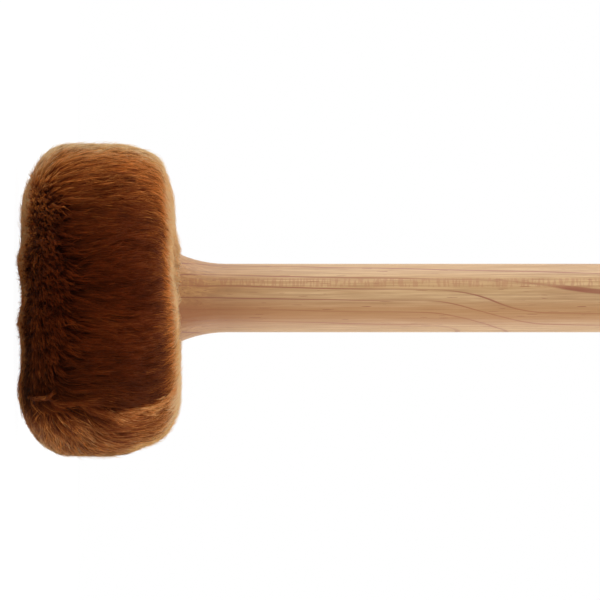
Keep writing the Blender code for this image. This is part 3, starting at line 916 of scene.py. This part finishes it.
def grow(locks, per_lock):
    """The strands of these locks. Each lock's strands start round its middle and draw together
    towards its tip. They are paths along the cover, with a tone, a painted sheen and a painted rim
    light at each point."""
    lock = np.repeat(np.arange(len(locks["along"])), per_lock)
    count = len(lock)
    of = {name: values[lock] for name, values in locks.items()}
    u = np.linspace(0, 1, RINGS + 1)
    room = np.maximum(travel[-1] - of["along"], 0) * 0.9 + 0.003
    length = np.minimum(of["length"] * (1 + 0.14 * random.normal(size=count)), room)
    length = np.clip(length, SHORTEST, LONGEST)
    heading = (of["lean"] + 0.04 * random.normal(size=count))[:, None]
    heading = heading + 0.08 * random.normal(size=count)[:, None] * u
    wave = (of["along"][:, None] + length[:, None] * u) / WAVE_LENGTH
    heading = heading + WAVE_TURN * np.sin(wave + 2.5 * np.sin(4 * of["turn"])[:, None])
    step = (length * of["reach"])[:, None] / RINGS
    none = np.zeros((count, 1))
    walk_along = np.concatenate([none, np.cumsum(np.cos(heading) * step, 1)[:, :-1]], 1)
    walk_across = np.concatenate([none, np.cumsum(np.sin(heading) * step, 1)[:, :-1]], 1)
    phase = random.uniform(0, 2 * math.pi, count)[:, None]
    off = random.normal(size=(2, count)) * of["spread"]
    gather = 1 - of["pinch"][:, None] * u
    across = off[0][:, None] * gather + walk_across
    across = across + of["curl"][:, None] * np.sin(phase + 9 * u) * u
    along = of["along"][:, None] + 1.6 * off[1][:, None] * gather + walk_along
    pull = of["gather"][:, None] * u**1.5
    along = np.clip(along + 0.5 * pull * of["gather_along"][:, None], 0.0, travel[-1])
    turn = of["turn"][:, None] + across / np.maximum(np.interp(along, travel, profile[:, 0]), 0.004)
    turn = turn + pull * of["gather_turn"][:, None]
    tip_height = of["lift"] + 0.0002 * random.normal(size=count)
    rise = np.sin(u * math.pi / 2) ** 0.8
    height = -PILE_DEPTH + (PILE_DEPTH + tip_height[:, None]) * rise
    r, z = (np.interp(along, travel, profile[:, column]) for column in (0, 1))
    height = np.maximum(height + puff(turn, r, z), -COVER_DEPTH)
    points, outward = on_cover(along, turn, height)
    points[..., 2] = np.maximum(points[..., 2], TABLE_GAP)
    tone = of["tone"] + 0.03 * random.normal(size=count)
    tone = tone[:, None] + (u - 0.6) * of["steep"][:, None]
    # The painted sheen and rim light vary from strand to strand and grow towards the tip.
    shine = np.exp(0.6 * random.normal(size=count) - 0.15)[:, None] * (0.1 + 1.1 * u**1.5)
    width = of["width"] * (1 + 0.2 * random.normal(size=count))
    made = {"points": points, "outward": outward, "width": width, "tone": tone}
    # The pile's outermost strands at the striking edge are painted lighter and with more painted
    # sheen
    # along their whole length, a painted lit fringe. Just behind it the painted rim light is
    # weaker:
    # painted shade by the table.
    lip = 1 - ease(z, 0.0007, of["fringe"][:, None])
    made["sheen"] = of["sheen"][:, None] * shine * (1 + 2 * lip) + 0.6 * lip * (shine > 0.5)
    made["tone"] = tone + (0.4 + 0.15 * random.normal(size=count))[:, None] * lip
    behind_lip = (1 - lip) * (1 - ease(z, 0.005, 0.011))
    made["edge"] = of["edge"][:, None] * shine * (1 - 0.85 * lip) * (1 - 0.8 * behind_lip)
    return made


grown = [grow(pile, STRANDS_PER_LOCK), grow(seam_row, ROW_STRANDS), grow(fuzz, 1)]
strands = {name: np.concatenate([g[name] for g in grown]) for name in grown[0]}
strand_count = len(strands["width"])

# Acrylic pile. Each strand is dark red-brown at its root and lighter towards its tip and lets some
# light through. Where the pile is seen edge-on, golden and cream colours are mixed in: a painted
# sheen and a painted rim light, as strong as each strand's pile_sheen and pile_edge.
LIGHT_THROUGH, STRAND_GLOW, PAINTED_SHEEN_GLOW = 0.3, 0.4, 0.5

fur, tree = empty_material("acrylic_fur_pile")
shade = add_node(tree, "ShaderNodeAttribute", attribute_name="pile_tone")
pile_colour = add_node(
    tree,
    "ShaderNodeValToRGB",
    {"Fac": shade.outputs["Fac"]},
    [(0.0, "260B05"), (0.25, "441606"), (0.5, "783213"), (0.75, "AE5E2C"), (1.0, "E0A058")],
)
strand_face = add_node(
    tree,
    "ShaderNodeBsdfPrincipled",
    {
        "Base Color": pile_colour.outputs["Color"],
        "Roughness": 0.5,
        "IOR": 1.5,
        "Specular IOR Level": 0.35,
        "Specular Tint": colour("E89A60"),
    },
)
strand_glow = add_node(
    tree, "ShaderNodeBsdfTranslucent", {"Color": pile_colour.outputs["Color"]}
)
strand_mix = add_node(
    tree,
    "ShaderNodeMixShader",
    {0: STRAND_GLOW, 1: strand_face.outputs["BSDF"], 2: strand_glow.outputs["BSDF"]},
)
cover_out = add_node(tree, "ShaderNodeAttribute", attribute_name="cover_out")
edge_on = add_node(
    tree, "ShaderNodeLayerWeight", {"Blend": 0.5, "Normal": cover_out.outputs["Vector"]}
)
# Two layers of painted light go over the strands: a golden painted sheen and a cream painted rim
# light, mixed in the more, the more edge-on the cover is seen.
layers = strand_mix
for kind, power, stops in (
    ("pile_sheen", 2.0, [(0.0, "9A441C"), (0.3, "DC7C38"), (0.6, "FFAC5C"), (1.0, "FFD694")]),
    ("pile_edge", 9.0, [(0.1, "C07A3C"), (0.4, "FFCC7C"), (0.7, "FFEEC0")]),
):
    painted_sheen_colour = add_node(tree, "ShaderNodeValToRGB", {"Fac": shade.outputs["Fac"]}, stops)
    painted_sheen_face = add_node(tree, "ShaderNodeBsdfDiffuse", {"Color": painted_sheen_colour.outputs["Color"]})
    painted_sheen_glow = add_node(
        tree, "ShaderNodeBsdfTranslucent", {"Color": painted_sheen_colour.outputs["Color"]}
    )
    over = add_node(
        tree,
        "ShaderNodeMixShader",
        {0: PAINTED_SHEEN_GLOW, 1: painted_sheen_face.outputs["BSDF"], 2: painted_sheen_glow.outputs["BSDF"]},
    )
    strength = add_node(tree, "ShaderNodeAttribute", attribute_name=kind)
    edge = add_node(
        tree, "ShaderNodeMath", {0: edge_on.outputs["Facing"], 1: power}, operation="POWER"
    )
    share = add_node(
        tree,
        "ShaderNodeMath",
        {0: edge.outputs[0], 1: strength.outputs["Fac"]},
        operation="MULTIPLY",
        use_clamp=True,
    )
    layers = add_node(
        tree,
        "ShaderNodeMixShader",
        {0: share.outputs[0], 1: layers.outputs["Shader"], 2: over.outputs["Shader"]},
    )
path_kind = add_node(tree, "ShaderNodeLightPath")
let_through = add_node(
    tree,
    "ShaderNodeMath",
    {0: path_kind.outputs["Is Shadow Ray"], 1: LIGHT_THROUGH},
    operation="MULTIPLY",
)
clear = add_node(tree, "ShaderNodeBsdfTransparent", {"Color": colour("FFE0C0")})
pile_face = add_node(
    tree,
    "ShaderNodeMixShader",
    {0: let_through.outputs[0], 1: layers.outputs["Shader"], 2: clear.outputs["BSDF"]},
)
add_node(tree, "ShaderNodeOutputMaterial", {"Surface": pile_face.outputs["Shader"]})

# Each strand is a closed three-sided spike. The pile is split into pieces of a size that a mesh
# tool handles, and each strand has a place of its own in the map OFBake.
PILE_PIECES = 13
TAPER = np.array((0.8, 1.0, 0.9, 0.6))
ring = np.arange(RINGS - 1)[:, None]
side = np.arange(3)[None, :]
ring_a, ring_b = 3 * ring + side, 3 * ring + (side + 1) % 3
quads = np.stack([ring_a, ring_a + 3, ring_b + 3, ring_b], -1).reshape(-1, 4)
tip = 3 * RINGS
spike_tris = [(0, 1, 2)] + [(tip - 3 + k, tip, tip - 3 + (k + 1) % 3) for k in range(3)]
spike_corners = np.concatenate([quads.ravel(), np.ravel(spike_tris)])
spike_sizes = [4] * len(quads) + [3] * len(spike_tris)
corner_up = np.append(np.repeat(np.linspace(0, 1, RINGS + 1)[:-1], 3), 1.0)[spike_corners]
corner_side = np.append(np.tile((0.0, 0.5, 1.0), RINGS), 0.5)[spike_corners]


def spike_vertices(of_ring, of_tip):
    """The values of each ring, three times over, then those of the tip."""
    return np.concatenate([np.repeat(of_ring, 3, axis=1), of_tip], axis=1)


def make_pile(name, chosen, cells):
    """One object with these strands, whose map has that many cells along each side."""
    line, outward = strands["points"][chosen], strands["outward"][chosen]
    count = len(line)
    ahead = np.gradient(line, axis=1)[:, :-1]
    ahead /= np.maximum(np.linalg.norm(ahead, axis=-1, keepdims=True), 1e-9)
    across = np.cross(ahead, outward[:, :-1])
    across /= np.maximum(np.linalg.norm(across, axis=-1, keepdims=True), 1e-9)
    up = np.cross(across, ahead)
    half = (strands["width"][chosen, None] * TAPER / 2)[..., None]
    middle = line[:, :-1]
    rings = np.stack(
        [
            middle + up * half * 0.8,
            middle + (across - 0.3 * up) * half,
            middle - (across + 0.3 * up) * half,
        ],
        axis=2,
    )
    points = np.concatenate([rings.reshape(count, RINGS * 3, 3), line[:, -1:]], axis=1)
    loops = np.arange(count)[:, None] * (tip + 1) + spike_corners
    sizes = np.tile(spike_sizes, count)
    mesh = bpy.data.meshes.new(name)
    mesh.vertices.add(count * (tip + 1))
    mesh.vertices.foreach_set("co", points.astype(np.float32).ravel())
    mesh.loops.add(loops.size)
    mesh.loops.foreach_set("vertex_index", loops.astype(np.int32).ravel())
    mesh.polygons.add(len(sizes))
    starts = np.append(0, np.cumsum(sizes)[:-1])
    mesh.polygons.foreach_set("loop_start", starts.astype(np.int32))
    mesh.polygons.foreach_set("use_smooth", np.ones(len(sizes), bool))
    for kind in ("tone", "sheen", "edge"):
        value = strands[kind][chosen]
        layer = mesh.attributes.new("pile_" + kind, "FLOAT", "POINT")
        spread = spike_vertices(value[:, :-1], value[:, -1:])
        layer.data.foreach_set("value", spread.astype(np.float32).ravel())
    layer = mesh.attributes.new("cover_out", "FLOAT_VECTOR", "POINT")
    spread = spike_vertices(outward[:, :-1], outward[:, -1:])
    layer.data.foreach_set("vector", spread.astype(np.float32).ravel())
    cell = np.arange(count)[:, None]
    places = np.stack(
        [
            (cell % cells + 0.12 + 0.76 * corner_side) / cells,
            (cell // cells + 0.08 + 0.84 * corner_up) / cells,
        ],
        -1,
    )
    layer = mesh.uv_layers.new(name="OFBake")
    layer.data.foreach_set("uv", places.astype(np.float32).ravel())
    mesh.update(calc_edges=True)
    mesh.validate()
    return link_piece(name, mesh, fur, "fur")


cells = math.ceil(math.sqrt(strand_count / PILE_PIECES + 1))
for piece in range(PILE_PIECES):
    make_pile(f"fur_pile_{piece + 1}", np.arange(piece, strand_count, PILE_PIECES), cells)

# The knitted backing. It is the cloth that the pile stands on, dyed a dark red-brown and matt, and
# it closes the head under the pile. Its stitches are 1.1 mm apart.
STITCHES_PER_METRE = 900.0
BACK_STEPS, BACK_RINGS = 192, 110

knit, tree = empty_material("knitted_backing")
place = add_node(tree, "ShaderNodeTexCoord")
knit_noise = add_node(
    tree,
    "ShaderNodeTexNoise",
    {"Vector": place.outputs["Object"], "Scale": STITCHES_PER_METRE, "Detail": 3.0},
)
knit_colour = add_node(
    tree,
    "ShaderNodeValToRGB",
    {"Fac": knit_noise.outputs["Fac"]},
    [(0.3, "3A1206"), (0.7, "582410")],
)
knit_face = add_node(
    tree,
    "ShaderNodeBsdfPrincipled",
    {
        "Base Color": knit_colour.outputs["Color"],
        "Roughness": 0.9,
        "Specular IOR Level": 0.1,
    },
)
add_node(tree, "ShaderNodeOutputMaterial", {"Surface": knit_face.outputs["BSDF"]})

back_along = np.linspace(0, travel[-1], BACK_RINGS)[:, None]
back_turn = np.linspace(0, 2 * math.pi, BACK_STEPS, endpoint=False)[None, :]
back_r, back_z = (np.interp(back_along, travel, profile[:, column]) for column in (0, 1))
back_form = np.maximum(puff(back_turn, back_r, back_z) - PILE_DEPTH - 0.0001, -COVER_DEPTH)
back_points, _ = on_cover(back_along + 0 * back_turn, back_turn + 0 * back_along, back_form)
back_points[..., 2] = np.maximum(back_points[..., 2], TABLE_GAP)
ring, step = np.meshgrid(np.arange(BACK_RINGS - 1), np.arange(BACK_STEPS), indexing="ij")
a, b = ring * BACK_STEPS + step, ring * BACK_STEPS + (step + 1) % BACK_STEPS
faces = np.stack([b, a, a + BACK_STEPS, b + BACK_STEPS], -1).reshape(-1, 4).tolist()
faces.append(list(range(BACK_STEPS)))
last_ring = range((BACK_RINGS - 1) * BACK_STEPS, BACK_RINGS * BACK_STEPS)
faces.append(list(reversed(last_ring)))
mesh = bpy.data.meshes.new("fur_backing")
mesh.from_pydata(back_points.reshape(-1, 3).tolist(), [], faces)
mesh.shade_smooth()
backing = link_piece("fur_backing", mesh, knit, "fur", "fur_cover")


# The photograph's view. The mallet stands on its striking face on a white table, and the camera is
# turned on its side, so the handle runs to the right. Four softboxes light it evenly.
HALF_TABLE = 0.8
VIEW_DISTANCE, VIEW_WIDTH = 3.0, 0.1944
VIEW_CENTRE = (0.00064, 0.0, 0.0917)
SENSOR_WIDTH = 36.0
LIGHT_AIM, SOFTBOX_SIZE = (0.0, 0.0, 0.09), 0.6
TABLE_WHITE, TABLE_WHITE_SHARE, WORLD_LIGHT = 1.06, 0.92, 0.64

table_mesh = bpy.data.meshes.new("white_table")
corners = [(x * HALF_TABLE, y * HALF_TABLE, 0.0) for x, y in ((-1, -1), (1, -1), (1, 1), (-1, 1))]
table_mesh.from_pydata(corners, [], [(0, 1, 2, 3)])
table = link_object("white_table", table_mesh)


def seen_rays(tree):
    """1 for what is seen, directly, in a gloss or through glass, and 0 for what only lights."""
    path_kind = add_node(tree, "ShaderNodeLightPath")
    seen = path_kind.outputs["Is Camera Ray"]
    for other in ("Is Glossy Ray", "Is Transmission Ray"):
        either = {0: seen, 1: path_kind.outputs[other]}
        seen = add_node(tree, "ShaderNodeMath", either, operation="MAXIMUM").outputs[0]
    return seen


# White laminate. It is the pale matt table, seen almost as white as the backdrop.
laminate, tree = empty_material("white_laminate")
table_face = add_node(tree, "ShaderNodeBsdfDiffuse", {"Color": colour("EDEDED")})
table_white = add_node(tree, "ShaderNodeEmission", {"Color": (1, 1, 1, 1), "Strength": TABLE_WHITE})
white_share = add_node(
    tree, "ShaderNodeMath", {0: seen_rays(tree), 1: TABLE_WHITE_SHARE}, operation="MULTIPLY"
)
table_mix = add_node(
    tree,
    "ShaderNodeMixShader",
    {0: white_share.outputs[0], 1: table_face.outputs["BSDF"], 2: table_white.outputs["Emission"]},
)
add_node(tree, "ShaderNodeOutputMaterial", {"Surface": table_mix.outputs["Shader"]})
set_material(table, laminate)

world = bpy.data.worlds.new("white_studio")
bpy.context.scene.world = world
world.use_nodes = True
tree = world.node_tree
tree.nodes.clear()
world_strength = add_node(
    tree, "ShaderNodeMapRange", {"Value": seen_rays(tree), "To Min": WORLD_LIGHT}
)
backdrop = add_node(
    tree,
    "ShaderNodeBackground",
    {"Color": (1, 1, 1, 1), "Strength": world_strength.outputs["Result"]},
)
add_node(tree, "ShaderNodeOutputWorld", {"Surface": backdrop.outputs["Background"]})

for name, place, power in (
    ("key_softbox", (-0.90, 0.10, 0.20), 3.8),
    ("fill_softbox", (0.90, 0.10, 0.20), 2.8),
    ("top_softbox", (0.0, 0.10, 1.10), 8.2),
    ("front_softbox", (0.0, -1.20, 0.10), 2.0),
):
    lamp = bpy.data.lights.new(name, "AREA")
    lamp.shape = "RECTANGLE"
    lamp.size = lamp.size_y = SOFTBOX_SIZE
    lamp.energy = power
    softbox = link_object(name, lamp)
    softbox.location = place
    softbox.rotation_mode = "QUATERNION"
    direction = Vector(np.subtract(LIGHT_AIM, place))
    softbox.rotation_quaternion = direction.to_track_quat("-Z", "Y")
    softbox.visible_camera = False

camera = bpy.data.cameras.new("camera")
camera.sensor_width = SENSOR_WIDTH
camera.lens = SENSOR_WIDTH * VIEW_DISTANCE / VIEW_WIDTH
camera.clip_start, camera.clip_end = 0.1, 20.0
view = link_object("camera", camera)
view.location = (VIEW_CENTRE[0], -VIEW_DISTANCE, VIEW_CENTRE[2])
view.rotation_euler = (math.pi / 2, -math.pi / 2, 0.0)
bpy.context.scene.camera = view
bpy.context.scene.view_settings.view_transform = "Standard"
